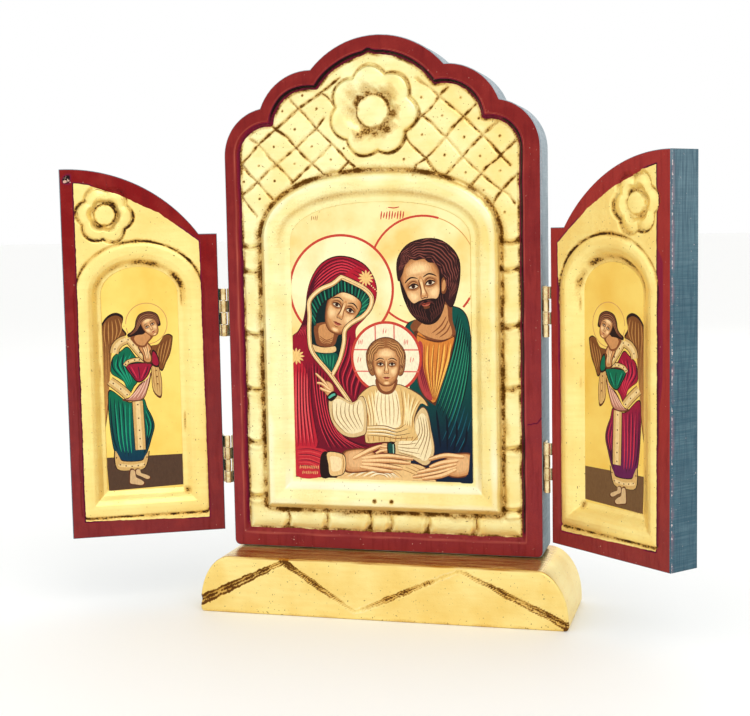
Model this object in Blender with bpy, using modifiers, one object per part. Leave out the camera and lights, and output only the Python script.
"""A small standing icon that folds: a carved centre panel on a foot, with two carved doors on brass hinges.

The front faces -Y, X runs to the right and Z up, in metres, from the middle of the foot's underside.
Outlines are drawn as (across, up) and cuts go back into the wood by their depth.
"""
import math

import bmesh
import bpy
from mathutils import Matrix, Vector

COLLECTION = "folding_icon"

# Fits
GLUE_GAP = 0.0003  # between pieces that are fixed to each other
AIR = 0.002  # how far a cutter stands out in front of the wood
WELD = 0.000001  # points nearer than this are one

# Foot
FOOT_WIDTH = 0.191
FOOT_DEPTH = 0.056
FOOT_HEIGHT = 0.0295
FOOT_END_WIDTH = 0.0165  # the rounded end, across
FOOT_END_HEIGHT = 0.0255  # the rounded end, up
FOOT_TOE_RADIUS = 0.002
FOOT_EDGE = 0.0004
# Corners of the zigzag, as shares of the foot's width and height
ZIGZAG = ((0.0, 0.19), (0.238, 0.95), (0.437, 0.135), (0.72, 0.935), (1.0, 0.085))
ZIGZAG_DEPTH = 0.0014

# Centre panel
PANEL_WIDTH = 0.165
PANEL_HEIGHT = 0.2634
PANEL_THICKNESS = 0.026
PANEL_OFFSET = -0.0026  # the panel's middle from the foot's middle
PANEL_SETBACK = 0.025  # from the foot's front to the panel's front
PANEL_CORNER_RADIUS = 0.003
PANEL_EDGE = 0.0008
SHOULDER_RADIUS = 0.0244
OUTER_NOTCH_FROM_SIDE = 0.0202
OUTER_NOTCH_DROP = 0.0344
INNER_NOTCH_SHARE = 0.5586  # of the way from the panel's middle to an outer notch
INNER_NOTCH_DROP = 0.0159
MIDDLE_SCALLOP_RISE = 0.0053

# Sunk gilded field of the panel
RIM_WIDTH = 0.0075
RIM_BEVEL = 0.0022
FIELD_DEPTH = 0.0028
FIELD_SHIFT = -0.0015  # the carving stands a little left of the panel's middle
FIELD_CORNER_RADIUS = 0.0005

# Arched moulding of the panel
BORDER_STRIP_WIDTH = 0.0103
BOTTOM_STRIP_HEIGHT = 0.0113
ARCH_DROP = 0.0684  # from the panel's top to the arch's top
ARCH_RISE = 0.035
ARCH_POWER = 2.3
ARCH_CORNER_RADIUS = 0.002
ARCH_CORNER_GROWTH = 0.5  # by how much of its inset an inner arch's corner is rounder
MOULDING_WIDTH = 0.015
PICTURE_DEPTH = 0.0047

# Profile of a moulding, as shares of its width and of the picture's depth, from outside to inside
MOULDING_PROFILE = ((0.14, 0.1), (0.3, 0.06), (0.45, 0.13), (0.62, 0.36), (0.82, 0.8), (1.0, 1.0))
MOULDING_SHOULDER = 0.04
MOULDING_SHOULDER_DEPTH = 0.4  # as a share of the moat's depth
MOAT_WIDTH = 0.0022
MOAT_DEPTH = 0.0011  # below the surface that the moat is cut in
MOAT_MIDDLE = 0.25  # the moat's deepest line, as a share of its width from the carving

# Profile of a flower: share of the petal's reach, depth at its crest, depth between two petals
PETAL_PROFILE = ((0.97, 0.3, 0.55), (0.86, 0.1, 0.5), (0.72, 0.28, 0.6), (0.52, 0.66, 0.75))
DISC_PROFILE = ((1.2, 1.0), (1.0, 0.95), (0.94, 0.3))  # share of the disc's radius, depth

# Border blocks beside and under the panel's moulding
STRIP_TOP_RISE = 0.0075  # the strips' top above the arch's spring
LEFT_GOUGE_SHARES = (0.108, 0.296, 0.481, 0.666, 0.873, 0.946, 1.0)
RIGHT_GOUGE_SHARES = (0.092, 0.296, 0.487, 0.685, 0.863, 0.959, 1.0)
BOTTOM_GOUGE_SHARES = (0.142, 0.288, 0.447, 0.522, 0.659, 0.834)
GOUGE_RADIUS = 0.002
GOUGE_DEPTH = 0.001
GROOVE_END_GAP = 0.0004  # from a groove's end to the foot of the rim
GROOVE_RUN_OUT = 0.35  # where a groove runs out into a moat, as a share of the moat's width

# Lattice
LATTICE_PITCH_ACROSS = 0.0195
LATTICE_PITCH_UP = 0.019
LATTICE_DROP = 0.0524  # from the panel's top to a crossing row's middle
LATTICE_OFFSET = 0.0053  # a diamond's middle from the field's middle
LATTICE_FALLING_DEPTH = 0.0007
LATTICE_RISING_DEPTH = 0.00078

# Panel flower: outer radius, notch depth between petals, disc radius
FLOWER_PETALS = 7
FLOWER_RADIUS = 0.0232
FLOWER_NOTCH = 0.0034
FLOWER_DISC_RADIUS = 0.008
FLOWER_TURN = 95.0  # direction of the first petal, in degrees
FLOWER_DROP = 0.0374
FLOWER_OFFSET = -0.001

# Doors
DOOR_WIDTH = 0.0793
DOOR_THICKNESS = 0.0182
DOOR_FOOT_GAP = 0.0088  # from the foot's top to the door's bottom
DOOR_SIDE_HEIGHT = 0.157  # of the edge at the hinges
DOOR_HEIGHT = 0.191  # of the free edge's peak
DOOR_LEDGE = 0.0095
DOOR_PEAK_INSET = 0.0034
DOOR_EDGE = 0.0006
DOOR_ARCH_SIDE = 0.0072  # of the door's face left beside the moulding, at the hinges and at the free edge
DOOR_ARCH_SHIFT = {"left": 0.0012, "right": -0.0009}  # each moulding stands a little off the door's middle
DOOR_ARCH_BOTTOM = 0.0107
DOOR_ARCH_DROP = 0.0378  # from the door's top
DOOR_ARCH_RISE = 0.027
DOOR_ARCH_POWER = 2.0
DOOR_MOULDING_WIDTH = 0.0128
DOOR_FLOWER_PETALS = 6
DOOR_FLOWER_RADIUS = 0.0148
DOOR_FLOWER_NOTCH = 0.0024
DOOR_FLOWER_DISC_RADIUS = 0.0055
DOOR_FLOWER_DEPTH = 0.0022
DOOR_FLOWER_TURN = 66.0
DOOR_FLOWER_FROM_FREE_EDGE = 0.0215
DOOR_FLOWER_DROP = 0.0228
DOOR_OPENING = {"left": 152.0, "right": 139.5}  # degrees from closed, at rest

# Hinges
HINGE_LENGTH = 0.025
HINGE_HEIGHTS = {"lower": 0.034, "upper": 0.1119}  # of the hinge's lower end above the foot
HINGE_EDGE_GAP = 0.0024  # from the hinge's axis to the wood's edge
HINGE_FACE_GAP = 0.0006  # from the hinge's axis to the wood's face
KNUCKLES = 4
KNUCKLE_RADIUS = 0.0015
KNUCKLE_GAP = 0.0003
PIN_RADIUS = 0.0007
PIN_CLEARANCE = 0.00012
LEAF_WIDTH = 0.0105
LEAF_THICKNESS = 0.0008
LEAF_CLEARANCE = 0.0004  # from a leaf to the knuckles of the other leaf

# Places that follow from the sizes
PANEL_FRONT = PANEL_SETBACK - FOOT_DEPTH / 2
PANEL_BOTTOM = FOOT_HEIGHT + GLUE_GAP
FIELD_INSET = RIM_WIDTH + RIM_BEVEL
ARCH_HALF_WIDTH = PANEL_WIDTH / 2 - FIELD_INSET - BORDER_STRIP_WIDTH
ARCH_BOTTOM = FIELD_INSET + BOTTOM_STRIP_HEIGHT
ARCH_TOP = PANEL_HEIGHT - ARCH_DROP
ARCH_SPRING = ARCH_TOP - ARCH_RISE
STRIP_TOP = ARCH_SPRING + STRIP_TOP_RISE
HINGE_AXIS_Y = PANEL_FRONT - HINGE_FACE_GAP
KNUCKLE_PITCH = (HINGE_LENGTH + KNUCKLE_GAP) / KNUCKLES
CUTTER_MOUTH = 2 * AIR  # how far a carving's cutter stands out
BLOCK_REACH = FIELD_DEPTH + CUTTER_MOUTH  # how far a block reaches in front of and behind a board's face
SIDES = {"left": -1, "right": 1}

# Finish of the meshes, in degrees
SMOOTH_UP_TO = 35.0
EASE_FROM = 60.0
FLAT_WITHIN = 0.06

# Points to a curve
ARC_STEPS = 8
TOP_ARC_STEPS = 7
ARCH_STEPS = 16
CORNER_STEPS = 2
PETAL_STEPS = 5
KNUCKLE_SIDES = 10
GOUGE_SIDES = 10


def arc(centre, radius, start, end, steps):
    """Points along an arc between two directions in degrees, both ends included."""
    turns = [math.radians(start + (end - start) * i / steps) for i in range(steps + 1)]
    return [(centre[0] + radius * math.cos(t), centre[1] + radius * math.sin(t)) for t in turns]


def direction(centre, point):
    """Direction from a centre to a point, in degrees."""
    return math.degrees(math.atan2(point[1] - centre[1], point[0] - centre[0]))


def circle_through(start, end, rise):
    """Centre and radius of an arc that bulges to the left of the way from start to end by its rise."""
    way = end - start
    radius = way.length ** 2 / (8 * rise) + rise / 2
    inward = Vector((-way.y, way.x)).normalized()
    return (start + end) / 2 + inward * (radius - rise), radius


def upper_crossing(centre_a, radius_a, centre_b, radius_b):
    """The higher point where two circles cross."""
    way = centre_b - centre_a
    along = (way.length ** 2 + radius_a ** 2 - radius_b ** 2) / (2 * way.length)
    across = math.sqrt(radius_a ** 2 - along ** 2) * Vector((-way.y, way.x)).normalized()
    foot = centre_a + way.normalized() * along
    return max(foot + across, foot - across, key=lambda point: point.y)


def panel_outline(inset=0.0, corner=PANEL_CORNER_RADIUS):
    """The scalloped outline of the panel, or one that runs inside it at a distance."""
    half = PANEL_WIDTH / 2
    outer_notch = Vector((half - OUTER_NOTCH_FROM_SIDE, PANEL_HEIGHT - OUTER_NOTCH_DROP))
    inner_notch = Vector((outer_notch.x * INNER_NOTCH_SHARE, PANEL_HEIGHT - INNER_NOTCH_DROP))
    shoulder_x = half - SHOULDER_RADIUS
    shoulder_up = math.sqrt(SHOULDER_RADIUS ** 2 - (outer_notch.x - shoulder_x) ** 2)
    shoulder = Vector((shoulder_x, outer_notch.y - shoulder_up))
    middle, middle_radius = circle_through(outer_notch, inner_notch, MIDDLE_SCALLOP_RISE)
    mirrored_notch = Vector((-inner_notch.x, inner_notch.y))
    top, top_radius = circle_through(inner_notch, mirrored_notch, INNER_NOTCH_DROP)
    radii = [radius - inset for radius in (SHOULDER_RADIUS, middle_radius, top_radius)]
    outer = upper_crossing(shoulder, radii[0], middle, radii[1])
    inner = upper_crossing(middle, radii[1], top, radii[2])
    corner_centre = (half - inset - corner, inset + corner)
    right = arc(corner_centre, corner, -90, 0, CORNER_STEPS)
    right += arc(shoulder, radii[0], 0, direction(shoulder, outer), ARC_STEPS)
    right += arc(middle, radii[1], direction(middle, outer), direction(middle, inner), ARC_STEPS - 1)[1:]
    right += arc(top, radii[2], direction(top, inner), 90, TOP_ARC_STEPS)[1:]
    return right + [(-x, z) for x, z in reversed(right[:-1])]


def arch_outline(half_width, bottom, spring, top, power, corner):
    """An arch with a superellipse for its head and small corners below."""
    points = arc((half_width - corner, bottom + corner), corner, -90, 0, CORNER_STEPS)
    for i in range(ARCH_STEPS + 1):
        turn = math.pi * i / ARCH_STEPS
        across = math.copysign(abs(math.cos(turn)) ** (2 / power), math.cos(turn))
        points.append((half_width * across, spring + (top - spring) * math.sin(turn) ** (2 / power)))
    return points + arc((corner - half_width, bottom + corner), corner, 180, 270, CORNER_STEPS)


def panel_field(inset):
    """The sunk field's outline, shifted as the carving is."""
    return [(x + FIELD_SHIFT, z) for x, z in panel_outline(inset, FIELD_CORNER_RADIUS)]


def plain(petals):
    """A petal outline as (across, up) points."""
    return [(x, z) for x, z, _ in petals]


def panel_arch(inset):
    """The panel's arch, or one that runs inside it at a distance."""
    corner = ARCH_CORNER_RADIUS + max(inset, 0.0) * ARCH_CORNER_GROWTH
    points = arch_outline(
        ARCH_HALF_WIDTH - inset, ARCH_BOTTOM + inset, ARCH_SPRING, ARCH_TOP - inset, ARCH_POWER, corner
    )
    return [(x + FIELD_SHIFT, z) for x, z in points]


def door_arch(inset, side_name):
    """A door's arch, or one that runs inside it at a distance, in the door's own frame."""
    top = DOOR_HEIGHT - DOOR_ARCH_DROP
    corner = ARCH_CORNER_RADIUS + max(inset, 0.0) * ARCH_CORNER_GROWTH
    points = arch_outline(
        DOOR_WIDTH / 2 - DOOR_ARCH_SIDE - inset, DOOR_ARCH_BOTTOM + inset, top - DOOR_ARCH_RISE,
        top - inset, DOOR_ARCH_POWER, corner,
    )
    middle = SIDES[side_name] * (HINGE_EDGE_GAP + DOOR_WIDTH / 2 + DOOR_ARCH_SHIFT[side_name])
    return [(x + middle, z) for x, z in points]


def door_outline(side):
    """A door seen from its carved face when it lies open, with its hinge axis at x = 0."""
    ledge = Vector((DOOR_LEDGE, DOOR_SIDE_HEIGHT))
    peak = Vector((DOOR_WIDTH - DOOR_PEAK_INSET, DOOR_HEIGHT))
    rise = peak.y - ledge.y
    radius = ((peak.x - ledge.x) ** 2 + rise ** 2) / (2 * rise)
    centre = Vector((peak.x, peak.y - radius))
    free_edge = direction((0, 0), (DOOR_PEAK_INSET, math.sqrt(radius ** 2 - DOOR_PEAK_INSET ** 2)))
    points = [(0.0, 0.0), (DOOR_WIDTH, 0.0)]
    points += arc(centre, radius, free_edge, direction(centre, ledge), 2 * ARC_STEPS)
    points.append((0.0, DOOR_SIDE_HEIGHT))
    return [(side * (HINGE_EDGE_GAP + across), up) for across, up in points]


def foot_outline():
    """The foot from the front: a flat top, elliptical ends and small rounded toes."""
    half = FOOT_WIDTH / 2
    right = arc((half - FOOT_TOE_RADIUS, FOOT_TOE_RADIUS), FOOT_TOE_RADIUS, -90, 0, CORNER_STEPS)
    for i in range(ARC_STEPS + 1):
        turn = math.pi / 2 * i / ARC_STEPS
        across = half - FOOT_END_WIDTH * (1 - math.cos(turn))
        right.append((across, FOOT_HEIGHT - FOOT_END_HEIGHT * (1 - math.sin(turn))))
    return right + [(-x, z) for x, z in reversed(right)]


def petal_outline(share, centre, radius, notch, petals, turn):
    """A flower's lobed outline, or one drawn smaller inside it, as (across, up, height of the petal)."""
    points = []
    for i in range(petals * PETAL_STEPS):
        angle = 2 * math.pi * i / (petals * PETAL_STEPS)
        swell = abs(math.cos(petals * angle / 2))
        reach = (radius - notch * (1 - swell)) * share
        lean = angle + math.radians(turn)
        points.append((centre[0] + reach * math.cos(lean), centre[1] + reach * math.sin(lean), swell))
    return points


def finished(name, mesh, material):
    """An object for a mesh, in the icon's collection or, with no material, among the cutters."""
    made = bpy.data.objects.new(name, mesh)
    if material:
        mesh.materials.append(material)
        bpy.data.collections[COLLECTION].objects.link(made)
        mesh.shade_smooth()
        mesh.set_sharp_from_angle(angle=math.radians(SMOOTH_UP_TO))
    else:
        bpy.data.collections["cutters"].objects.link(made)
        made.hide_render = True
        made.display_type = "WIRE"
    return made


def board(name, outline, thickness, material=None):
    """A board cut to an outline, with its front face at y = 0."""
    drawing = bpy.data.curves.new(name, "CURVE")
    drawing.dimensions = "2D"
    drawing.fill_mode = "BOTH"
    drawing.extrude = thickness / 2
    spline = drawing.splines.new("POLY")
    spline.points.add(len(outline) - 1)
    for point, (across, up) in zip(spline.points, outline):
        point.co = (across, up, 0.0, 1.0)
    spline.use_cyclic_u = True
    drawn = bpy.data.objects.new(name + "_drawing", drawing)
    bpy.context.scene.collection.objects.link(drawn)
    mesh = bpy.data.meshes.new_from_object(drawn.evaluated_get(bpy.context.evaluated_depsgraph_get()))
    bpy.data.objects.remove(drawn)
    stand_up = Matrix.Translation((0, thickness / 2, 0)) @ Matrix.Rotation(math.pi / 2, 4, "X")
    shape = bmesh.new()
    shape.from_mesh(mesh)
    bmesh.ops.transform(shape, matrix=stand_up, verts=shape.verts)
    bmesh.ops.remove_doubles(shape, verts=shape.verts, dist=WELD)
    flat = math.radians(FLAT_WITHIN)
    bmesh.ops.dissolve_limit(shape, angle_limit=flat, verts=shape.verts, edges=shape.edges)
    return closed(name, shape, material)


def closed(name, shape, material=None):
    """An object for a bmesh, welded and with its faces pointing out."""
    bmesh.ops.remove_doubles(shape, verts=shape.verts, dist=WELD)
    bmesh.ops.recalc_face_normals(shape, faces=shape.faces)
    mesh = bpy.data.meshes.new(name)
    shape.to_mesh(mesh)
    shape.free()
    return finished(name, mesh, material)


def loft(name, rings):
    """A solid through rings of as many (across, up, depth) points each."""
    shape = bmesh.new()
    loops = [[shape.verts.new((x, depth, z)) for x, z, depth in ring] for ring in rings]
    sides = []
    for one, other in zip(loops, loops[1:]):
        for i in range(len(one)):
            sides.append(shape.faces.new((one[i - 1], one[i], other[i], other[i - 1])))
    bmesh.ops.triangulate(shape, faces=sides)
    shape.faces.new(loops[0])
    shape.faces.new(loops[-1])
    return closed(name, shape)


def at_depth(outline, depth):
    """A flat ring of (across, up, depth) points."""
    return [(x, z, depth) for x, z in outline]


def moulding_cutter(name, arch, width, surface):
    """The air over a moulding: the moat around it, its crest, and the picture's ground."""
    moat = surface + MOAT_DEPTH
    rings = [at_depth(arch(-MOAT_WIDTH), depth) for depth in (-CUTTER_MOUTH, surface - MOAT_DEPTH)]
    rings.append(at_depth(arch(-MOAT_WIDTH * MOAT_MIDDLE), moat))
    rings.append(at_depth(arch(width * MOULDING_SHOULDER), moat * MOULDING_SHOULDER_DEPTH))
    rings += [at_depth(arch(across * width), depth * PICTURE_DEPTH) for across, depth in MOULDING_PROFILE]
    return loft(name, rings)


def flower_cutter(name, outline, disc_radius, surface, depth):
    """The air over a flower: its moat, the rounded petals, their hollows, and the pit around its disc."""
    mouth = plain(outline(1.0, MOAT_WIDTH))
    rings = [at_depth(mouth, level) for level in (-CUTTER_MOUTH, surface - MOAT_DEPTH)]
    rings.append(at_depth(plain(outline(1.0, MOAT_WIDTH * MOAT_MIDDLE)), surface + MOAT_DEPTH))
    for share, crest, valley in PETAL_PROFILE:
        rings.append([(x, z, depth * (valley + (crest - valley) * swell)) for x, z, swell in outline(share)])
    whole = outline(1.0)
    centre = sum((Vector(point[:2]) for point in whole), Vector((0, 0))) / len(whole)
    for reach, share in DISC_PROFILE:
        away = [(Vector(point[:2]) - centre).normalized() * disc_radius * reach + centre for point in whole]
        rings.append([(point.x, point.y, depth * share) for point in away])
    return loft(name, rings)


def cut(piece, cutter, operation="DIFFERENCE"):
    """Cuts a cutter out of a piece, or keeps what both share."""
    change = piece.modifiers.new(cutter.name, "BOOLEAN")
    change.operation = operation
    change.solver = "EXACT"
    change.object = cutter
    return piece


def rounded(piece, width):
    """Eases the sharp edges of a piece."""
    bevel = piece.modifiers.new("eased_edges", "BEVEL")
    bevel.width = width
    bevel.segments = 2
    bevel.limit_method = "ANGLE"
    bevel.angle_limit = math.radians(EASE_FROM)
    return piece


def bars(name, lines, surface, depth):
    """Square bars, lying on an edge along flat lines, that cut V grooves of a depth into a surface."""
    shape = bmesh.new()
    side = 2 * depth * math.sqrt(2)
    for start, end in lines:
        way = Vector((end[0] - start[0], 0, end[1] - start[1]))
        middle = Vector(((start[0] + end[0]) / 2, surface - depth, (start[1] + end[1]) / 2))
        turned = way.to_track_quat("X", "Y").to_matrix().to_4x4() @ Matrix.Rotation(math.pi / 4, 4, "X")
        size = Matrix.Diagonal((way.length, side, side, 1))
        bmesh.ops.create_cube(shape, size=1.0, matrix=Matrix.Translation(middle) @ turned @ size)
    return closed(name, shape)


def paint(name, colour, roughness, metallic=0.0):
    """A plain material."""
    made = bpy.data.materials.new(name)
    made.use_nodes = True
    shader = made.node_tree.nodes["Principled BSDF"]
    shader.inputs["Base Color"].default_value = (*colour, 1.0)
    shader.inputs["Roughness"].default_value = roughness
    shader.inputs["Metallic"].default_value = metallic
    return made


def make_foot():
    """The foot, with its zigzag."""
    foot = board("foot", foot_outline(), FOOT_DEPTH, paint("foot_gold", (0.84, 0.63, 0.22), 0.35, 0.6))
    foot.location = (0, -FOOT_DEPTH / 2, 0)
    rounded(foot, FOOT_EDGE)
    turns = [Vector(((across - 0.5) * FOOT_WIDTH, up * FOOT_HEIGHT)) for across, up in ZIGZAG]
    for i in range(len(turns) - 1):
        way = (turns[i + 1] - turns[i]).normalized() * ZIGZAG_DEPTH
        groove = bars(f"zigzag_{i}", [(turns[i] - way, turns[i + 1] + way)], 0.0, ZIGZAG_DEPTH)
        groove.parent = foot
        cut(foot, groove)


def field_flower(share, grow=0.0):
    """The panel's flower outline."""
    centre = (FIELD_SHIFT + FLOWER_OFFSET, PANEL_HEIGHT - FLOWER_DROP)
    return petal_outline(share, centre, FLOWER_RADIUS + grow, FLOWER_NOTCH, FLOWER_PETALS, FLOWER_TURN)


def door_flower(side, share, grow=0.0):
    """A door's flower outline, in the door's own frame."""
    across = HINGE_EDGE_GAP + DOOR_WIDTH - DOOR_FLOWER_FROM_FREE_EDGE
    centre = (side * across, DOOR_HEIGHT - DOOR_FLOWER_DROP)
    turn = DOOR_FLOWER_TURN if side > 0 else 180.0 - DOOR_FLOWER_TURN
    return petal_outline(
        share, centre, DOOR_FLOWER_RADIUS + grow, DOOR_FLOWER_NOTCH, DOOR_FLOWER_PETALS, turn
    )


def make_panel():
    """The centre panel, with its carving."""
    red = paint("panel_red", (0.3, 0.02, 0.03), 0.35)
    panel = rounded(board("panel", panel_outline(), PANEL_THICKNESS, red), PANEL_EDGE)
    panel.location = (PANEL_OFFSET, PANEL_FRONT, PANEL_BOTTOM)
    slope = RIM_BEVEL / FIELD_DEPTH
    mouth = at_depth(panel_field(RIM_WIDTH - AIR * slope), -AIR)
    sunk = loft("field", [mouth, at_depth(panel_field(FIELD_INSET), FIELD_DEPTH)])
    standing = block("moulding_left_standing", panel_arch(-MOAT_WIDTH / 2))
    petals = block("flower_left_standing", plain(field_flower(1.0, MOAT_WIDTH / 2)))
    cut(sunk, standing)
    cut(sunk, petals)
    cutters = [sunk, moulding_cutter("moulding", panel_arch, MOULDING_WIDTH, FIELD_DEPTH)]
    cutters.append(flower_cutter("flower", field_flower, FLOWER_DISC_RADIUS, FIELD_DEPTH, FIELD_DEPTH))
    cutters += [lattice_cutter(), gouge_cutter()]
    for cutter in cutters:
        cut(panel, cutter)
    for cutter in cutters + [standing, petals]:
        cutter.parent = panel


def block(name, outline):
    """A block right through the carved surface, to keep a cutter off a carving."""
    return loft(name, [at_depth(outline, -BLOCK_REACH), at_depth(outline, BLOCK_REACH)])


def lattice_cutter():
    """Two sets of crossing V grooves, kept to the field above the moulding and around the flower."""
    middle = Vector((FIELD_SHIFT + LATTICE_OFFSET, PANEL_HEIGHT - LATTICE_DROP))
    tallest = max(LATTICE_DROP, middle.y - STRIP_TOP)
    count = math.ceil(PANEL_WIDTH / 2 / LATTICE_PITCH_ACROSS + tallest / LATTICE_PITCH_UP)
    ground = [(x, max(z, STRIP_TOP)) for x, z in panel_field(FIELD_INSET + GROOVE_END_GAP)]
    region = loft("lattice_ground", [at_depth(ground, -AIR), at_depth(ground, FIELD_DEPTH + AIR)])
    off_moulding = block("lattice_off_moulding", panel_arch(-MOAT_WIDTH * GROOVE_RUN_OUT))
    off_flower = block("lattice_off_flower", plain(field_flower(1.0, MOAT_WIDTH * GROOVE_RUN_OUT)))
    cut(region, off_moulding)
    cut(region, off_flower)
    sets = []
    length = 2 * PANEL_WIDTH
    for lean, depth in ((-1, LATTICE_FALLING_DEPTH), (1, LATTICE_RISING_DEPTH)):
        way = Vector((LATTICE_PITCH_ACROSS, lean * LATTICE_PITCH_UP)).normalized() * length / 2
        lines = []
        for i in range(-count, count):
            point = middle + Vector(((i + 0.5) * LATTICE_PITCH_ACROSS, 0.0))
            lines.append((point - way, point + way))
        sets.append(bars("lattice_falling" if lean < 0 else "lattice_rising", lines, FIELD_DEPTH, depth))
    cut(sets[0], sets[1], "UNION")
    cut(sets[0], region, "INTERSECT")
    for keep in (region, off_moulding, off_flower, sets[1]):
        keep.parent = sets[0]
    return sets[0]


def gouge_cutter():
    """Round gouge cuts across the border strips, which part them into blocks."""
    left = FIELD_SHIFT - PANEL_WIDTH / 2 + FIELD_INSET
    right = FIELD_SHIFT + PANEL_WIDTH / 2 - FIELD_INSET
    depth = FIELD_DEPTH + GOUGE_DEPTH - GOUGE_RADIUS
    side_length = BORDER_STRIP_WIDTH - MOAT_WIDTH * GROOVE_RUN_OUT - GROOVE_END_GAP
    bottom_length = BOTTOM_STRIP_HEIGHT - MOAT_WIDTH * GROOVE_RUN_OUT - GROOVE_END_GAP
    places = []
    for edge, way, shares in ((left, 1, LEFT_GOUGE_SHARES), (right, -1, RIGHT_GOUGE_SHARES)):
        for share in shares:
            height = FIELD_INSET + (STRIP_TOP - FIELD_INSET) * share
            places.append((edge + way * (side_length / 2 + GROOVE_END_GAP), height, side_length, "Y"))
    for share in BOTTOM_GOUGE_SHARES:
        height = FIELD_INSET + bottom_length / 2 + GROOVE_END_GAP
        places.append((left + (right - left) * share, height, bottom_length, None))
    shape = bmesh.new()
    for across, up, length, turned in places:
        place = Matrix.Translation((across, depth, up))
        if turned:
            place = place @ Matrix.Rotation(math.pi / 2, 4, turned)
        bmesh.ops.create_cone(
            shape, cap_ends=True, segments=GOUGE_SIDES, radius1=GOUGE_RADIUS, radius2=GOUGE_RADIUS,
            depth=length, matrix=place,
        )
    return closed("gouges", shape)


def make_door(side_name):
    """A door on its hinge axis, turned to where it stands at rest."""
    side = SIDES[side_name]
    hinge = bpy.data.objects.new(f"door_{side_name}_axis", None)
    bpy.data.collections[COLLECTION].objects.link(hinge)
    axis_x = PANEL_OFFSET + side * (PANEL_WIDTH / 2 + HINGE_EDGE_GAP)
    hinge.location = (axis_x, HINGE_AXIS_Y, FOOT_HEIGHT)
    hinge.rotation_euler = (0, 0, -side * math.radians(180.0 - DOOR_OPENING[side_name]))

    red = paint(f"door_{side_name}_red", (0.36, 0.02, 0.03), 0.35)
    door = rounded(board(f"door_{side_name}", door_outline(side), DOOR_THICKNESS, red), DOOR_EDGE)
    door.parent = hinge
    door.location = (0, HINGE_FACE_GAP, DOOR_FOOT_GAP)

    def arch(inset):
        return door_arch(inset, side_name)

    def flower(share, grow=0.0):
        return door_flower(side, share, grow)

    moulding = moulding_cutter(f"moulding_{side_name}", arch, DOOR_MOULDING_WIDTH, 0.0)
    petals = flower_cutter(f"flower_{side_name}", flower, DOOR_FLOWER_DISC_RADIUS, 0.0, DOOR_FLOWER_DEPTH)
    for cutter in (moulding, petals):
        cutter.parent = door
        cut(door, cutter)
    return hinge


def leaf_outline(knuckle_rows):
    """A hinge leaf from the side: a plate with a tab for each of its own knuckles, as (back, up)."""
    near = KNUCKLE_RADIUS + LEAF_CLEARANCE
    points = [(LEAF_WIDTH, 0.0), (LEAF_WIDTH, HINGE_LENGTH)]
    corners = []
    for row in knuckle_rows:
        low = row * KNUCKLE_PITCH
        high = low + KNUCKLE_PITCH - KNUCKLE_GAP
        low_edge = [(near, low)] if row else []
        high_edge = [(near, high)] if row < KNUCKLES - 1 else []
        corners.append(low_edge + [(0.0, low), (0.0, high)] + high_edge)
    if 0 not in knuckle_rows:
        corners.insert(0, [(near, 0.0)])
    if KNUCKLES - 1 not in knuckle_rows:
        corners.append([(near, HINGE_LENGTH)])
    for tab in reversed(corners):
        points += reversed(tab)
    return points


def round_bars(name, rows, radius, material=None):
    """Round bars on a hinge's axis, one for each pair of a lower and an upper end."""
    shape = bmesh.new()
    for low, high in rows:
        middle = Matrix.Translation((0, 0, (low + high) / 2))
        bmesh.ops.create_cone(
            shape, cap_ends=True, segments=KNUCKLE_SIDES, radius1=radius, radius2=radius,
            depth=high - low, matrix=middle,
        )
    return closed(name, shape, material)


def make_leaf(name, wood_side, knuckle_rows, brass):
    """A hinge leaf with its knuckles, its axis at x = y = 0 and the wood on its side."""
    leaf = board(name, leaf_outline(knuckle_rows), LEAF_THICKNESS, brass)
    place = wood_side * (HINGE_EDGE_GAP - GLUE_GAP - LEAF_THICKNESS / 2)
    plate = Matrix.Translation((place, 0, 0)) @ Matrix.Rotation(math.pi / 2, 4, "Z")
    leaf.data.transform(plate @ Matrix.Translation((0, -LEAF_THICKNESS / 2, 0)))
    rows = [(row * KNUCKLE_PITCH, (row + 1) * KNUCKLE_PITCH - KNUCKLE_GAP) for row in knuckle_rows]
    knuckles = round_bars(name + "_knuckles", rows, KNUCKLE_RADIUS)
    bore = round_bars(name + "_bore", [(-AIR, HINGE_LENGTH + AIR)], PIN_RADIUS + PIN_CLEARANCE)
    cut(leaf, knuckles, "UNION")
    cut(leaf, bore)
    for cutter in (knuckles, bore):
        cutter.parent = leaf
    return leaf


def make_hinge(side_name, height_name, door_axis):
    """One butt hinge: the panel's leaf, the door's leaf and the pin."""
    side = SIDES[side_name]
    name = f"hinge_{side_name}_{height_name}"
    brass = paint(name + "_brass", (0.8, 0.66, 0.36), 0.3, 1.0)
    door_rows = range(1, KNUCKLES, 2)
    panel_rows = range(0, KNUCKLES, 2)
    up = HINGE_HEIGHTS[height_name]
    panel_leaf = make_leaf(name + "_panel_leaf", -side, panel_rows, brass)
    panel_leaf.location = (door_axis.location.x, door_axis.location.y, FOOT_HEIGHT + up)
    door_leaf = make_leaf(name + "_door_leaf", side, door_rows, brass)
    door_leaf.parent = door_axis
    door_leaf.location = (0, 0, up)
    pin = round_bars(name + "_pin", [(0.0, HINGE_LENGTH)], PIN_RADIUS, brass)
    pin.location = panel_leaf.location


for old in list(bpy.data.objects):
    bpy.data.objects.remove(old)
for collection_name in (COLLECTION, "cutters"):
    bpy.context.scene.collection.children.link(bpy.data.collections.new(collection_name))

make_foot()
make_panel()
for door_side in SIDES:
    axis = make_door(door_side)
    for hinge_height in HINGE_HEIGHTS:
        make_hinge(door_side, hinge_height, axis)
